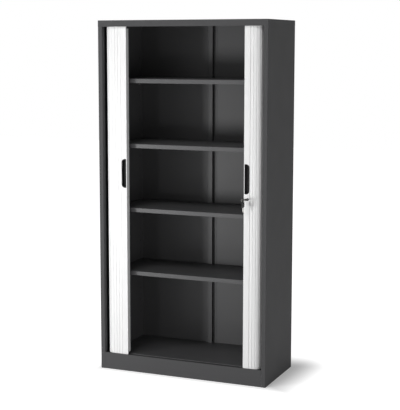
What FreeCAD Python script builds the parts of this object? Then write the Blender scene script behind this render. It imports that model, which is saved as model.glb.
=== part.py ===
"""Tall sheet-steel cabinet with two side-opening tambour curtains, in millimetres.

The curtains are chains of upright slats. Each slat's bead turns in the next slat's socket, so
the chain runs along the front, round a corner of the track and back beside the shelves. The
frame has its origin on the floor at the middle of the plinth's front, +Z up, +Y to the rear.
"""
import FreeCAD
import Part
import math
import os

# Whole cabinet
width = 1000.0
depth = 450.0
height = 1980.0
sheet = 1.2
bend = 1.0
bend_sides = 5
overrun = 5.0
slot_overrun = 2.5

# Outer side panels, with the stile that frames the front
stile_face = 25.0
stile_return = 30.0
rear_flange = 20.0
joggle_lap = 12.0

# Top cover, whose front lip is the top rail
rail_face = 35.0
rail_return = 6.0
cover_lip = 33.0
cover_corner = 0.8
cover_seam = 0.4

# Plinth and rear base rail
plinth_face = 95.0
plinth_lip = 6.0
plinth_foot = 20.0
base_rail_foot = 25.0

# Base pan and top pan, which carry the tracks
trough_depth = 17.0
top_trough_depth = 23.0
pan_lip = 9.0
pan_seam = 0.3

# Raised floor and ceiling between the liners
trough_width = 34.0
ceiling_rise = 10.0

# Liners beside the shelves, with their columns of slots
liner_inset = 56.0
liner_front = 53.0
liner_return = 12.0
slot_pitch = 72.5
slot_height = 14.0
slot_width = 4.0
slot_front_inset = 32.0
slot_rear_inset = 36.0
first_slot_margin = 130.0
last_slot_margin = 140.0

# Back panels and the spine over their joint
back_seam = 0.5
spine_face = 28.0
spine_depth = 18.0
spine_flange = 20.0
rivet_radius = 3.5
rivet_height = 1.6
rivet_sides = 8
rivet_inset = 30.0
rivets_per_column = 3

# Shelves on clips
shelf_count = 4
slots_between_shelves = 5
top_compartment = 296.5
shelf_sheet = 1.0
shelf_lip = 24.0
shelf_hem = 12.0
shelf_front_gap = 4.0
shelf_rear_gap = 4.6
shelf_side_gap = 0.5
clip_plate = 1.5
clip_width = 20.0
clip_ledge = 14.0
clip_ledge_thickness = 3.0
clip_plate_height = 26.0
clip_tongue = 7.0
clip_tongue_fit = 0.3
clip_tongue_drop = 9.0

# Curtain slats
slat_pitch = 17.4
slat_thickness = 8.0
curtain_setback = 9.0
pocket_inset = 36.0
corner_slats = 4
bead_radius = 1.3
socket_gap = 0.3
socket_wall = 0.9
neck_thickness = 1.1
slat_end_gap = 0.4
slat_edge = 0.8
slat_rear_bevel = 1.2
bead_sides = 5
socket_sides = 4
socket_upper_lip = 147.0
socket_lower_lip = 240.0
socket_back = 300.0
full_turn = 360.0
slat_run_gap = 2.0

# Tracks
track_wall = 2.0
track_side_gap = 1.0
track_height = 14.0
track_floor = 2.0
track_end_gap = 8.0
track_middle_gap = 0.5

# Lead posts and finger cups
least_post = 30.0
meeting_gap = 1.5
post_depth = 32.0
post_wall = 2.0
post_proud = 0.5
post_foot_depth = 9.0
post_foot_gap = 13.0
post_head_gap = 11.0
cup_width = 28.0
cup_height = 162.0
cup_above_lock = 26.0
cup_tail_inset = 1.2
cup_depth = 22.0
cup_wall = 1.5
cup_rim = 1.5
cup_rim_proud = 0.8
cup_round = 19.0
cup_lead_round = 3.0
cup_arc_sides = 9
cup_fit = 0.2
open_slats_left = 3
open_slats_right = 1

# Lock
lock_height = 1026.0
lock_tail_inset = 11.0
lock_sides = 24
rosette_radius = 8.5
rosette_thickness = 3.0
rosette_round = 1.0
barrel_radius = 6.5
barrel_length = 17.0
barrel_fit = 0.3
core_radius = 4.8
core_gap = 0.1
core_proud = 0.8
nut_radius = 8.6
nut_thickness = 4.0
nut_sides = 6
nut_fit = 0.1
cam_thickness = 3.0
cam_gap = 0.4
cam_reach = 30.0
cam_width = 10.0
cam_root_round = 4.5
cam_tip_round = 2.5
cam_arc_sides = 4
cam_slot_gap = 0.8
strike_thickness = 1.2
strike_height = 58.0
strike_width = 14.0

# Keys
blade_width = 7.0
blade_thickness = 2.0
blade_depth = 18.0
blade_fit = 0.1
blade_shown = 9.0
blade_tip = 2.2
cut_margin = 0.5
cut_pitch = 2.4
cut_crest = 0.3
cut_run_share = 0.55
cut_depth_shares = (0.14, 0.22, 0.1, 0.18, 0.22, 0.12)
bow_width = 28.0
bow_length = 32.0
bow_thickness = 6.0
bow_round = 9.0
bow_root_round = 4.5
bow_arc_sides = 5
bow_eye_half = 6.4
bow_eye_radius = 4.0
bow_eye_sides = 8
bow_eye_inset = 3.6
ring_radius = 9.0
ring_wire = 0.8
ring_touch = 0.3
ring_sides = 6
ring_turn_sides = 24

# Levelling feet
foot_inset_x = 90.0
foot_inset_y = 55.0
foot_pad_radius = 15.0
foot_pad_height = 6.0
foot_stem_radius = 5.0
foot_stem_top = 72.0
foot_sides = 8
foot_nut_radius = 9.0
foot_nut_height = 8.0
bracket_size = 60.0
bracket_thickness = 3.0
bracket_top = 50.0
bracket_leg = 3.0
stem_gap = 0.3

# Places worked out from the sizes above
half_width = width / 2
front = 0.0
rear = depth
side_inner = half_width - sheet
front_inner = front + sheet
rail_bottom = height - rail_face
cover_inner = height - sheet
back_face = rear - 2 * sheet
base_top = plinth_face - trough_depth
top_pan_face = rail_bottom + top_trough_depth
ceiling_face = rail_bottom + ceiling_rise
trough_edge = front + trough_width
liner_x = half_width - liner_inset
liner_edge = front + liner_front
path_y = front + curtain_setback + slat_thickness / 2
path_x = half_width - pocket_inset
corner_step = 90.0 / corner_slats
corner_radius = slat_pitch / 2 / math.sin(math.radians(corner_step / 2))
corner_x = path_x - corner_radius
corner_y = path_y + corner_radius
slat_bottom = base_top + track_floor + slat_run_gap
slat_top = top_pan_face - track_floor - slat_run_gap
slat_length = slat_top - slat_bottom
socket_radius = bead_radius + socket_gap
knuckle_radius = socket_radius + socket_wall
slat_tail = knuckle_radius + slat_end_gap
closed_slats = int((corner_x - meeting_gap / 2 - least_post) / slat_pitch)
post_pitch = corner_x - meeting_gap / 2 - closed_slats * slat_pitch
post_body = post_pitch - slat_tail
slat_count = closed_slats + corner_slats
pocket_slats = int((back_face - track_end_gap - corner_y) / slat_pitch)
kept_slats = slat_count - corner_slats - pocket_slats
front_slats_left = max(open_slats_left, kept_slats)
front_slats_right = max(open_slats_right, kept_slats)
cup_centre = lock_height + cup_above_lock + cup_height / 2
spine_front = back_face - spine_depth
shelf_front = liner_edge + shelf_front_gap
shelf_rear = spine_front - shelf_rear_gap
shelf_half = liner_x - clip_plate - shelf_side_gap
shelf_step = slots_between_shelves * slot_pitch
first_shelf = ceiling_face - top_compartment - (shelf_count - 1) * shelf_step
shelf_tops = [first_shelf + k * shelf_step for k in range(shelf_count)]


def vec(x, y, z=0.0):
    """A point or direction."""
    return FreeCAD.Vector(x, y, z)


def box(x0, x1, y0, y1, z0, z1):
    """A rectangular block between two opposite corners."""
    return Part.makeBox(x1 - x0, y1 - y0, z1 - z0, vec(x0, y0, z0))


def mirrored(shape):
    """The same piece on the other side of the cabinet's middle."""
    return shape.mirror(vec(0, 0), vec(1, 0))


def rounded_corner(before, corner, after, radius):
    """Start, middle and end of the arc that rounds one corner of an outline."""
    coming = (corner - before).normalize()
    going = (after - corner).normalize()
    turn = coming.getAngle(going)
    reach = radius * math.tan(turn / 2)
    start = corner - coming * reach
    end = corner + going * reach
    inward = (going - coming).normalize()
    middle = corner + inward * (radius / math.cos(turn / 2) - radius)
    return start, middle, end


def rounded_wire(points, radii, arc_sides=0):
    """A closed wire through the points, each corner rounded by its radius.

    The roundings are arcs, or runs of straight sides where a count of them is given.
    """
    edges = []
    last = None
    first = None
    for k, corner in enumerate(points):
        before = points[k - 1]
        after = points[(k + 1) % len(points)]
        if radii[k] > 0:
            start, middle, end = rounded_corner(before, corner, after, radii[k])
            arc = Part.Arc(start, middle, end).toShape()
        else:
            start = end = corner
            arc = None
        if last is None:
            first = start
        else:
            edges.append(Part.LineSegment(last, start).toShape())
        if arc is not None and arc_sides:
            stops = arc.discretize(arc_sides + 1)
            edges += [Part.LineSegment(a, b).toShape() for a, b in zip(stops, stops[1:])]
        elif arc is not None:
            edges.append(arc)
        last = end
    edges.append(Part.LineSegment(last, first).toShape())
    return Part.Wire(edges)


def folded_sheet(points, thickness, plane):
    """The section of a sheet folded along the points, as a face in the given plane.

    The points lie on one face of the sheet, and the sheet lies to the right of the line
    from the first point to the last. Every fold has the inside radius of a bend.
    """
    flat = [vec(a, b) for a, b in points]
    runs = [(b - a).normalize() for a, b in zip(flat, flat[1:])]
    right = [vec(run.y, -run.x) for run in runs]
    other = [flat[0] + right[0] * thickness]
    radii = [0.0]
    other_radii = [0.0]
    for k in range(1, len(flat) - 1):
        across = (right[k - 1] + right[k]).normalize()
        other.append(flat[k] + across * (thickness / across.dot(right[k])))
        turns_right = runs[k - 1].cross(runs[k]).z < 0
        radii.append(bend + thickness if turns_right else bend)
        other_radii.append(bend if turns_right else bend + thickness)
    other.append(flat[-1] + right[-1] * thickness)
    radii.append(0.0)
    other_radii.append(0.0)
    outline = [plane(p.x, p.y) for p in flat + other[::-1]]
    return Part.Face(rounded_wire(outline, radii + other_radii[::-1], bend_sides))


def plan(z):
    """The horizontal plane at a height, for sections seen from above."""
    return lambda x, y: vec(x, y, z)


def side_plane(x):
    """The upright plane across the cabinet at x, for sections seen from the side."""
    return lambda y, z: vec(x, y, z)


def upright(points, z0, z1, thickness=sheet):
    """A folded sheet that stands from z0 to z1."""
    return folded_sheet(points, thickness, plan(z0)).extrude(vec(0, 0, z1 - z0))


def crosswise(points, half, thickness=sheet):
    """A folded sheet that runs from -half to +half across the cabinet."""
    return folded_sheet(points, thickness, side_plane(-half)).extrude(vec(2 * half, 0))


def left_side_panel():
    """Outer side with the stile, its return and the rear flange, joggled under the cover."""
    panel = upright([(-half_width + stile_face, front + stile_return),
                     (-half_width + stile_face, front),
                     (-half_width, front),
                     (-half_width, rear),
                     (-half_width + rear_flange, rear)], 0, rail_bottom)
    joggle_bottom = rail_bottom - joggle_lap
    joggle = box(-side_inner, -side_inner + sheet, front_inner, back_face, joggle_bottom, cover_inner)
    strip = box(-half_width, -side_inner, front_inner + bend, rear - sheet - bend,
                rail_bottom, height - cover_lip - cover_seam)
    return panel.fuse([joggle, strip]).removeSplitter()


def top_cover():
    """Cap over the whole top: front rail with its return, side lips and a rear lip."""
    cap = box(-half_width, half_width, front, rear, rail_bottom, height)
    edges = [e for e in cap.Edges if e.BoundBox.ZMax > rail_bottom + cover_corner]
    cap = cap.makeChamfer(cover_corner, edges)
    hollow = box(-side_inner, side_inner, front_inner, rear - sheet, rail_bottom - overrun, cover_inner)
    cap = cap.cut(hollow)
    lip_bottom = height - cover_lip
    for x0, x1 in ((-half_width - overrun, -side_inner), (side_inner, half_width + overrun)):
        cap = cap.cut(box(x0, x1, front_inner, rear + overrun, rail_bottom - overrun, lip_bottom))
    cap = cap.cut(box(-half_width, half_width, rear - sheet, rear + overrun,
                      rail_bottom - overrun, lip_bottom))
    half_opening = half_width - stile_face
    rail_fold = box(-half_opening, half_opening, front_inner, front + rail_return,
                    rail_bottom, rail_bottom + sheet)
    return cap.fuse(rail_fold).removeSplitter()


def plinth():
    """Front base board folded back at its top and at the floor."""
    return crosswise([(front + plinth_foot, 0), (front, 0), (front, plinth_face),
                      (front + plinth_lip, plinth_face)], half_width - stile_face)


def rear_base_rail():
    """Rear base board between the side panels' flanges, with a foot on the floor."""
    return crosswise([(rear, base_top - sheet), (rear, 0), (rear - base_rail_foot, 0)],
                     half_width - rear_flange)


def notched_pan(half, z0, z1):
    """Flat pan over the whole base, notched round the stiles' returns."""
    pan = box(-half, half, front_inner, back_face, z0, z1)
    notch_x = half_width - stile_face - pan_seam
    notch_y = front + stile_return + pan_seam
    for sign in (-1, 1):
        x0, x1 = sorted((sign * notch_x, sign * (half_width + overrun)))
        pan = pan.cut(box(x0, x1, front - overrun, notch_y, z0 - overrun, z1 + overrun))
    return pan


def base_pan():
    """Pan that carries the bottom tracks, the liners and the raised floor."""
    pan = notched_pan(side_inner - pan_seam, base_top - sheet, base_top)
    lip_half = half_width - stile_face - pan_seam
    lip = box(-lip_half, lip_half, front_inner, front_inner + sheet,
              base_top - sheet - pan_lip, base_top - sheet)
    return pan.fuse(lip).removeSplitter()


def top_pan():
    """Pan under the cover that carries the top tracks, with its lips turned up."""
    half = side_inner - sheet - pan_seam
    pan = box(-half, half, front_inner, back_face, top_pan_face, top_pan_face + sheet)
    lips = [box(-half, half, y, y + sheet, top_pan_face + sheet, cover_inner)
            for y in (front_inner, back_face - sheet)]
    return pan.fuse(lips).removeSplitter()


def floor_pan():
    """Raised floor, folded down at the front into the track's trough and at the rear."""
    points = [(trough_edge, base_top), (trough_edge, plinth_face),
              (back_face, plinth_face), (back_face, base_top)]
    return crosswise(points, liner_x)


def ceiling_pan():
    """Ceiling over the top shelf space, folded up at the front and at the rear."""
    points = [(back_face, top_pan_face), (back_face, ceiling_face),
              (trough_edge, ceiling_face), (trough_edge, top_pan_face)]
    return crosswise(points, liner_x)


def slot_heights():
    """Heights of the slots in one column of a liner, in step with the first shelf's clips."""
    held = first_shelf - shelf_lip - clip_tongue_drop
    below = int((held - base_top - first_slot_margin) / slot_pitch)
    above = int((top_pan_face - last_slot_margin - held) / slot_pitch)
    return [held + k * slot_pitch for k in range(-below, above + 1)]


def slot_columns():
    """Distances from front to back of a liner's two columns of slots."""
    return [liner_edge + slot_front_inset, back_face - slot_rear_inset]


def left_liner():
    """Inner side beside the shelves, with a return at its front edge and two slot columns."""
    liner = upright([(-liner_x, back_face), (-liner_x, liner_edge), (-liner_x - liner_return, liner_edge)],
                    base_top, top_pan_face)
    slots = [box(-liner_x - sheet - overrun, -liner_x + overrun, y - slot_width / 2, y + slot_width / 2,
                 z - slot_height / 2, z + slot_height / 2)
             for y in slot_columns() for z in slot_heights()]
    return liner.cut(Part.makeCompound(slots))


def left_back_panel():
    """Left half of the back, between the side panel's flange and the middle joint."""
    outer = -side_inner + bend + pan_seam
    return box(outer, -back_seam / 2, back_face, rear - sheet, base_top - joggle_lap, cover_inner)


def back_spine():
    """Hat-shaped upright over the joint of the back panels."""
    half_face = spine_face / 2
    half_foot = half_face + spine_flange
    inner_face = half_face - sheet
    points = [(-half_foot, back_face), (-inner_face, back_face), (-inner_face, spine_front + sheet),
              (inner_face, spine_front + sheet), (inner_face, back_face), (half_foot, back_face)]
    return upright(points, plinth_face, ceiling_face)


def prism(radius, sides, base, axis):
    """Upright or lying prism with regular sides, from the middle of its base along the axis."""
    turn = FreeCAD.Rotation(vec(0, 0, 1), axis)
    corners = [base + turn.multVec(polar(radius, full_turn * k / sides)) for k in range(sides + 1)]
    return Part.Face(Part.makePolygon(corners)).extrude(axis)


def back_rivets():
    """Rivet heads down both flanges of the spine."""
    bottom = plinth_face + rivet_inset
    step = (ceiling_face - rivet_inset - bottom) / (rivets_per_column - 1)
    x = spine_face / 2 + sheet + (spine_flange - sheet) / 2
    heads = [prism(rivet_radius, rivet_sides, vec(sign * x, back_face - sheet, bottom + k * step),
                   vec(0, -rivet_height))
             for sign in (-1, 1) for k in range(rivets_per_column)]
    return Part.makeCompound(heads)


def shelf(top):
    """Shelf with lips on all four sides, the front one hemmed under."""
    hem = [(shelf_front + shelf_hem, top - shelf_lip), (shelf_front, top - shelf_lip), (shelf_front, top),
           (shelf_rear, top), (shelf_rear, top - shelf_lip)]
    tray = crosswise(hem, shelf_half, shelf_sheet)
    lips = []
    lip_front = shelf_front + shelf_sheet + bend
    lip_rear = shelf_rear - shelf_sheet - bend
    for x0 in (-shelf_half, shelf_half - shelf_sheet):
        lips.append(box(x0, x0 + shelf_sheet, lip_front, lip_rear, top - shelf_lip, top - shelf_sheet))
    return tray.fuse(lips).removeSplitter()


def left_clip(y, top):
    """Clip hooked into a liner's slot: a plate on the liner and a ledge under the shelf's lip."""
    ledge_top = top - shelf_lip
    slot = ledge_top - clip_tongue_drop
    plate_top = slot + clip_plate_height / 2
    plate_bottom = slot - clip_plate_height / 2
    inner = -liner_x + clip_plate
    plate = box(-liner_x, inner, y - clip_width / 2, y + clip_width / 2, plate_bottom, plate_top)
    ledge = box(inner, inner + clip_ledge, y - clip_width / 2, y + clip_width / 2,
                ledge_top - clip_ledge_thickness, ledge_top)
    half_tongue = slot_width / 2 - clip_tongue_fit
    tongue = box(-liner_x - clip_tongue, -liner_x, y - half_tongue, y + half_tongue,
                 slot - slot_height / 2 + clip_tongue_fit, slot + slot_height / 2 - clip_tongue_fit)
    return plate.fuse([ledge, tongue]).removeSplitter()


def shelf_clips():
    """Four clips under each shelf."""
    clips = []
    for top in shelf_tops:
        for y in slot_columns():
            clip = left_clip(y, top)
            clips += [clip, mirrored(clip)]
    return Part.makeCompound(clips)


def polar(radius, degrees):
    """Point on a circle round a slat's hinge axis."""
    angle = math.radians(degrees)
    return vec(radius * math.cos(angle), radius * math.sin(angle))


def facets(radius, start, end, count):
    """Corners of a many-sided arc whose sides touch the circle from outside."""
    step = (end - start) / count
    corner = radius / math.cos(math.radians(step / 2))
    return [polar(corner, start + k * step) for k in range(count + 1)]


def bead_points(tail):
    """Corners of a neck and its bead, from the neck's upper root to its lower root."""
    half_neck = neck_thickness / 2
    meet = math.degrees(math.asin(half_neck / bead_radius))
    centre = vec(tail, 0)
    turn = (180 - meet) * 2 / bead_sides
    ring = [centre + polar(bead_radius, 180 - meet - k * turn) for k in range(bead_sides + 1)]
    root = tail - slat_tail
    return [vec(root, half_neck)] + ring + [vec(root, -half_neck)]


def slat_section():
    """Section of one slat: socket at x = 0, bead at x = pitch, the face shown towards +Y."""
    half = slat_thickness / 2
    tail = slat_pitch - slat_tail
    hook = facets(knuckle_radius, socket_back, socket_lower_lip, 1)
    hollow = facets(socket_radius, socket_lower_lip, socket_upper_lip + full_turn, socket_sides)
    cheek = facets(knuckle_radius, socket_upper_lip, 90, 1)
    points = bead_points(slat_pitch)
    points += [vec(tail, -half + slat_rear_bevel), vec(tail - slat_rear_bevel, -half),
               vec(slat_tail + slat_rear_bevel, -half)]
    points += hook + hollow + cheek
    points += [vec(slat_edge, half), vec(tail - slat_edge, half), vec(tail, half - slat_edge)]
    return Part.Face(Part.makePolygon(points + points[:1]))


def slat_place(position):
    """Hinge point and turn of the left curtain's slat that starts so many slats after the corner's start.

    The position is negative on the front, 0 to corner_slats in the corner and larger beside
    the shelves. The turn is 0 along the front and 90 degrees along the side.
    """
    if position < 0:
        return vec(-corner_x - position * slat_pitch, path_y), 0.0
    if position < corner_slats:
        angle = math.radians(position * corner_step)
        centre = vec(-corner_x, corner_y)
        return centre - vec(math.sin(angle), math.cos(angle)) * corner_radius, (position + 0.5) * corner_step
    return vec(-path_x, corner_y + (position - corner_slats) * slat_pitch), 90.0


def placed(shape, position, right):
    """A slat or post moved from its own axes to its place in a curtain."""
    hinge, turn = slat_place(position)
    moved = shape.copy()
    moved.rotate(vec(0, 0), vec(0, 0, 1), 180 - turn)
    moved.translate(hinge)
    return mirrored(moved) if right else moved


def curtain(name, open_slats, right):
    """The slats of one open curtain, in groups that keep together when it is closed."""
    slat = slat_section().extrude(vec(0, 0, slat_length))
    slat.translate(vec(0, 0, slat_bottom))
    slats = [placed(slat, k - open_slats, right) for k in range(slat_count)]
    groups = {name + "_front_slats": slats[:open_slats]}
    for k in range(corner_slats):
        groups[name + "_corner_slat_" + str(k + 1)] = [slats[open_slats + k]]
    groups[name + "_side_slats"] = slats[open_slats + corner_slats:closed_slats]
    for k in range(corner_slats):
        groups[name + "_tail_slat_" + str(k + 1)] = [slats[closed_slats + k]]
    return {key: Part.makeCompound(group) for key, group in groups.items()}


def post_section():
    """Section of a lead post: a hollow bar with the first slat's bead on its tail side."""
    face = slat_thickness / 2 + post_proud
    bar = box(-post_pitch, -slat_tail, face - post_depth, face, slat_bottom, slat_top)
    long_edges = [e for e in bar.Edges if e.BoundBox.ZLength > slat_length / 2]
    bar = bar.makeFillet(post_wall / 2, long_edges)
    hollow = box(-post_pitch + post_wall, -slat_tail - post_wall, face - post_depth + post_wall,
                 face - post_wall, slat_bottom - overrun, slat_top + overrun)
    points = bead_points(0)
    bead = Part.Face(Part.makePolygon(points + points[:1])).extrude(vec(0, 0, slat_length))
    bead.translate(vec(0, 0, slat_bottom))
    return bar.cut(hollow).fuse(bead).removeSplitter()


def cup_outline(inset, y):
    """D-shaped outline of a finger cup, straight towards the lead edge, in the post's axes."""
    tail = -slat_tail - cup_tail_inset - inset
    lead = -slat_tail - cup_tail_inset - cup_width + inset
    low = cup_centre - cup_height / 2 + inset
    high = cup_centre + cup_height / 2 - inset
    corners = [vec(lead, y, low), vec(tail, y, low), vec(tail, y, high), vec(lead, y, high)]
    lead_round = max(cup_lead_round - inset, cup_lead_round / 2)
    radii = [lead_round, cup_round - inset, cup_round - inset, lead_round]
    return Part.Face(rounded_wire(corners, radii, cup_arc_sides))


def post():
    """Lead post: full front, with the rear part cut short above the floor and under the rail."""
    face = slat_thickness / 2 + post_proud
    bar = post_section()
    inner = face - post_foot_depth
    low = plinth_face + post_foot_gap
    high = rail_bottom - post_head_gap
    for z0, z1 in ((slat_bottom - overrun, low), (high, slat_top + overrun)):
        bar = bar.cut(box(-post_pitch - overrun, overrun, face - post_depth - overrun, inner, z0, z1))
    hole = cup_outline(cup_rim - cup_fit, face + overrun).extrude(vec(0, -post_wall - 2 * overrun))
    return bar.cut(hole)


def finger_cup():
    """Finger cup: a rim on the post's face round a tub that is open at the front."""
    face = slat_thickness / 2 + post_proud
    rim = cup_outline(0, face).extrude(vec(0, cup_rim_proud))
    tub = cup_outline(cup_rim, face - cup_depth).extrude(vec(0, cup_depth))
    pocket = cup_outline(cup_rim + cup_wall, face - cup_depth + cup_wall)
    return rim.fuse(tub).cut(pocket.extrude(vec(0, cup_depth + overrun))).removeSplitter()


right_hinge = corner_x - front_slats_right * slat_pitch
left_hinge = -corner_x + front_slats_left * slat_pitch
right_lead = right_hinge - post_pitch
left_lead = left_hinge + post_pitch
lock_x = right_lead + post_body - lock_tail_inset
post_face_y = path_y - slat_thickness / 2 - post_proud
cam_front = post_face_y + barrel_length + cam_gap
cam_rear = cam_front + cam_thickness
bow_front = post_face_y - rosette_thickness - blade_shown - bow_length


def cam_slot(x0, x1):
    """Cutting block for the upright slot that the lock's cam swings through."""
    half = cam_width / 2 + cam_slot_gap
    return box(x0, x1, cam_front - cam_slot_gap, cam_rear + cam_slot_gap,
               lock_height - cam_reach - cam_slot_gap, lock_height + half)


def around_lock(radius, y0, y1):
    """Many-sided bar on the lock's axis between two distances from the front."""
    return prism(radius, lock_sides, vec(lock_x, y0, lock_height), vec(0, y1 - y0))


def bored_for_lock(radius, y0, y1):
    """Cutting bar on the lock's axis whose flats lie at the radius."""
    return around_lock(radius / math.cos(math.pi / lock_sides), y0 - overrun, y1 + overrun)


def right_lead_post():
    """Right post, with the barrel's hole and the cam's slot."""
    bar = placed(post(), -front_slats_right, True)
    hole = bored_for_lock(barrel_radius + barrel_fit, post_face_y, post_face_y + post_wall)
    return bar.cut([hole, cam_slot(right_lead - overrun, right_lead + post_wall + slot_overrun)])


def left_lead_post():
    """Left post, with the slot that takes the cam."""
    bar = placed(post(), -front_slats_left, False)
    return bar.cut(cam_slot(left_lead - post_wall - slot_overrun, left_lead + overrun))


def lock_strike():
    """Plate inside the left post's lead wall, slotted for the cam."""
    x1 = left_lead - post_wall
    middle = (cam_front + cam_rear) / 2
    centre = lock_height - cam_reach / 2
    plate = box(x1 - strike_thickness, x1, middle - strike_width / 2, middle + strike_width / 2,
                centre - strike_height / 2, centre + strike_height / 2)
    return plate.cut(cam_slot(x1 - overrun, x1 + overrun))


def lock_barrel():
    """Fixed barrel with its rosette, bored for the core."""
    face = post_face_y - rosette_thickness
    rear_end = post_face_y + barrel_length
    rosette = around_lock(rosette_radius, face, post_face_y)
    rim = [e for e in rosette.Edges if e.BoundBox.YMax < post_face_y - rosette_thickness / 2]
    rosette = rosette.makeChamfer(rosette_round, rim)
    whole = rosette.fuse(around_lock(barrel_radius, post_face_y, rear_end)).removeSplitter()
    return whole.cut(bored_for_lock(core_radius + core_gap, face, rear_end))


def lock_nut():
    """Hexagon nut that clamps the barrel behind the post's front wall."""
    y = post_face_y + post_wall
    nut = prism(nut_radius, nut_sides, vec(lock_x, y, lock_height), vec(0, nut_thickness))
    return nut.cut(bored_for_lock(barrel_radius + nut_fit, y, y + nut_thickness))


def lock_core():
    """Turning plug with the keyway cut into its face."""
    face = post_face_y - rosette_thickness - core_proud
    half_w = blade_width / 2 + blade_fit
    half_t = blade_thickness / 2 + blade_fit
    keyway = box(lock_x - half_w, lock_x + half_w, face - overrun, face + blade_depth + blade_fit,
                 lock_height - half_t, lock_height + half_t)
    return around_lock(core_radius, face, cam_front).cut(keyway)


def lock_cam():
    """Flat cam on the core's rear end, hanging down when the lock is open."""
    half = cam_width / 2
    corners = [vec(lock_x - half, cam_front, lock_height + half),
               vec(lock_x + half, cam_front, lock_height + half),
               vec(lock_x + half, cam_front, lock_height - cam_reach),
               vec(lock_x - half, cam_front, lock_height - cam_reach)]
    radii = [cam_root_round, cam_root_round, cam_tip_round, cam_tip_round]
    return Part.Face(rounded_wire(corners, radii, cam_arc_sides)).extrude(vec(0, cam_thickness))


blade_length = blade_shown - core_proud + blade_depth
bow_eye_y = -bow_length + bow_eye_inset + bow_eye_radius


def key_bow():
    """Level bow with a long eye across its far end, centred on x = 0, from y = 0 away from the blade."""
    half = bow_width / 2
    corners = [vec(-half, 0), vec(half, 0), vec(half, -bow_length), vec(-half, -bow_length)]
    radii = [bow_root_round, bow_root_round, bow_round, bow_round]
    slab = Part.Face(rounded_wire(corners, radii, bow_arc_sides)).extrude(vec(0, 0, bow_thickness))
    eye = []
    for k in range(bow_eye_sides + 1):
        corner = polar(bow_eye_radius, 90 + 180 * k / bow_eye_sides)
        eye.append(vec(-bow_eye_half, bow_eye_y) + corner)
    eye += [vec(bow_eye_half, bow_eye_y) + polar(bow_eye_radius, 180 * k / bow_eye_sides - 90)
            for k in range(bow_eye_sides + 1)]
    hole = Part.Face(Part.makePolygon(eye + eye[:1])).extrude(vec(0, 0, bow_thickness + 2 * overrun))
    hole.translate(vec(0, 0, -overrun))
    slab = slab.cut(hole)
    slab.translate(vec(0, 0, -bow_thickness / 2))
    return slab


def key_blade():
    """Blade along +Y from the bow, with a row of cuts in one edge and a bevelled tip."""
    half = blade_width / 2
    points = [vec(-half, 0), vec(half, 0)]
    first_cut = blade_shown + cut_margin
    fitting = int((blade_length - blade_tip - first_cut) / cut_pitch)
    for k, share in enumerate(cut_depth_shares[:fitting]):
        depth = share * blade_width
        run = depth * cut_run_share
        start = first_cut + k * cut_pitch
        end = start + cut_pitch - cut_crest
        points += [vec(half, start), vec(half - depth, start + run),
                   vec(half - depth, end - run), vec(half, end)]
    points += [vec(half, blade_length - blade_tip), vec(half - blade_tip, blade_length),
               vec(-half + blade_tip, blade_length), vec(-half, blade_length - blade_tip)]
    blade = Part.Face(Part.makePolygon(points + points[:1])).extrude(vec(0, 0, blade_thickness))
    blade.translate(vec(0, 0, -blade_thickness / 2))
    return blade


def key_at_origin():
    """One key, level, with the root of its bow at the origin and its blade along +Y."""
    return key_bow().fuse(key_blade()).removeSplitter()


def key():
    """Key in the lock: blade in the keyway and a level bow."""
    whole = key_at_origin()
    whole.translate(vec(lock_x, post_face_y - rosette_thickness - blade_shown, lock_height))
    return whole


ring_y = post_face_y - rosette_thickness - blade_shown + bow_eye_y
ring_x = lock_x - bow_width / 2 + bow_eye_inset / 2
ring_inner = ring_radius - ring_wire


def ring_reach(half):
    """How far the ring's inside lies from its centre at a distance to the side."""
    return math.sqrt(ring_inner ** 2 - half ** 2)


ring_z = lock_height + bow_thickness / 2 + ring_touch - ring_reach(bow_eye_inset / 2)


def key_ring():
    """Ring through the key's bow, hanging in a plane across the cabinet."""
    section = [polar(ring_wire, full_turn * k / ring_sides) for k in range(ring_sides + 1)]
    rounds = []
    for k in range(ring_turn_sides + 1):
        turn = FreeCAD.Rotation(vec(0, 1), full_turn * k / ring_turn_sides)
        rounds.append([turn.multVec(vec(ring_radius + p.x, p.y)) for p in section])
    sides = [Part.Face(Part.makePolygon([a[j], a[j + 1], b[j + 1], b[j], a[j]]))
             for a, b in zip(rounds, rounds[1:]) for j in range(ring_sides)]
    ring = Part.Solid(Part.makeShell(sides))
    ring.translate(vec(ring_x, ring_y, ring_z))
    return ring


def spare_key():
    """Second key on the ring, hanging edge-on with its blade down."""
    whole = key_at_origin()
    whole.rotate(vec(0, 0), vec(1, 0, 0), -90)
    whole.rotate(vec(0, 0), vec(0, 0, 1), 90)
    eye_z = ring_z - ring_reach(bow_thickness / 2) + ring_touch - bow_eye_radius
    whole.translate(vec(ring_x, ring_y, eye_z + bow_eye_y))
    return whole


def track_outline(left, right):
    """Plan of a band that follows the left curtain's path, between two offsets from it.

    An offset is positive towards the outside of the cabinet.
    """
    end_y = back_face - track_end_gap
    half_turn = math.radians(45)
    edges = []
    ends = []
    for offset in (left, right):
        radius = corner_radius + offset
        start = vec(-track_middle_gap / 2, path_y - offset)
        bend_start = vec(-corner_x, path_y - offset)
        bend_end = vec(-path_x - offset, corner_y)
        end = vec(-path_x - offset, end_y)
        middle = vec(-corner_x, corner_y) - vec(math.sin(half_turn), math.cos(half_turn)) * radius
        edges += [Part.LineSegment(start, bend_start).toShape(),
                  Part.Arc(bend_start, middle, bend_end).toShape(),
                  Part.LineSegment(bend_end, end).toShape()]
        ends.append((start, end))
    edges.append(Part.LineSegment(ends[0][0], ends[1][0]).toShape())
    edges.append(Part.LineSegment(ends[0][1], ends[1][1]).toShape())
    return Part.Face(Part.Wire(Part.__sortEdges__(edges)))


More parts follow.
